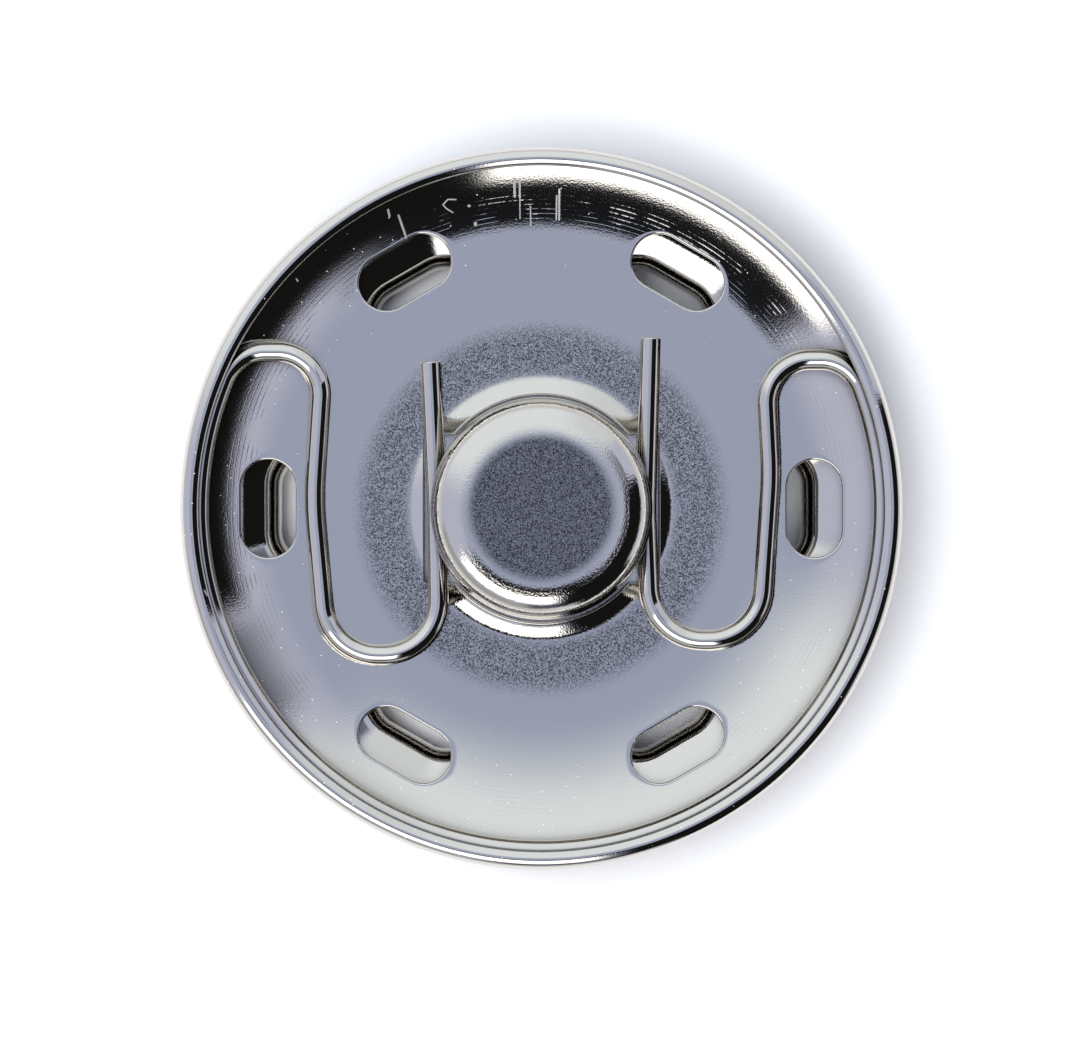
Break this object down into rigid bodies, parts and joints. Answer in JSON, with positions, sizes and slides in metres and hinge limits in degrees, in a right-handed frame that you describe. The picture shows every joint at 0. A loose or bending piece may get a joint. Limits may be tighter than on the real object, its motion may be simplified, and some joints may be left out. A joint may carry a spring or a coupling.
{
  "type": "snap fastener",
  "caption": "Round sew-on press stud, closed: slotted disc with a bent wire spring gripping the hollow stud of a second disc.",
  "frame": {"origin": "on the fastener's axis, at the bottom of the ball half's rolled rim", "axes": "+Z along the stud, from the ball half to the socket half; the wire's two legs run along Y, its rim arc on the -Y side"},
  "size_m": [0.0302, 0.0302, 0.006],
  "materials": {
    "nickel_plated_ball": "bright nickel plate on drawn sheet, orange-peel grain on the drawn stud",
    "nickel_plated_socket": "bright nickel plate on drawn sheet, faint tool rings and short scratches",
    "nickel_plated_wire": "bright nickel plate on hard-drawn round wire, sheared ends"
  },
  "bodies": {
    "ball_half": {"ball_plate": "nickel_plated_ball"},
    "socket_half": {"socket_plate": "nickel_plated_socket", "spring_wire": "nickel_plated_wire"}
  },
  "joints": [
    {"name": "unsnap", "type": "slide", "parent": "ball_half", "child": "socket_half", "axis": [0, 0, 1], "range_m": [0, 0.008], "deforming": ["spring_wire"]}
  ]
}
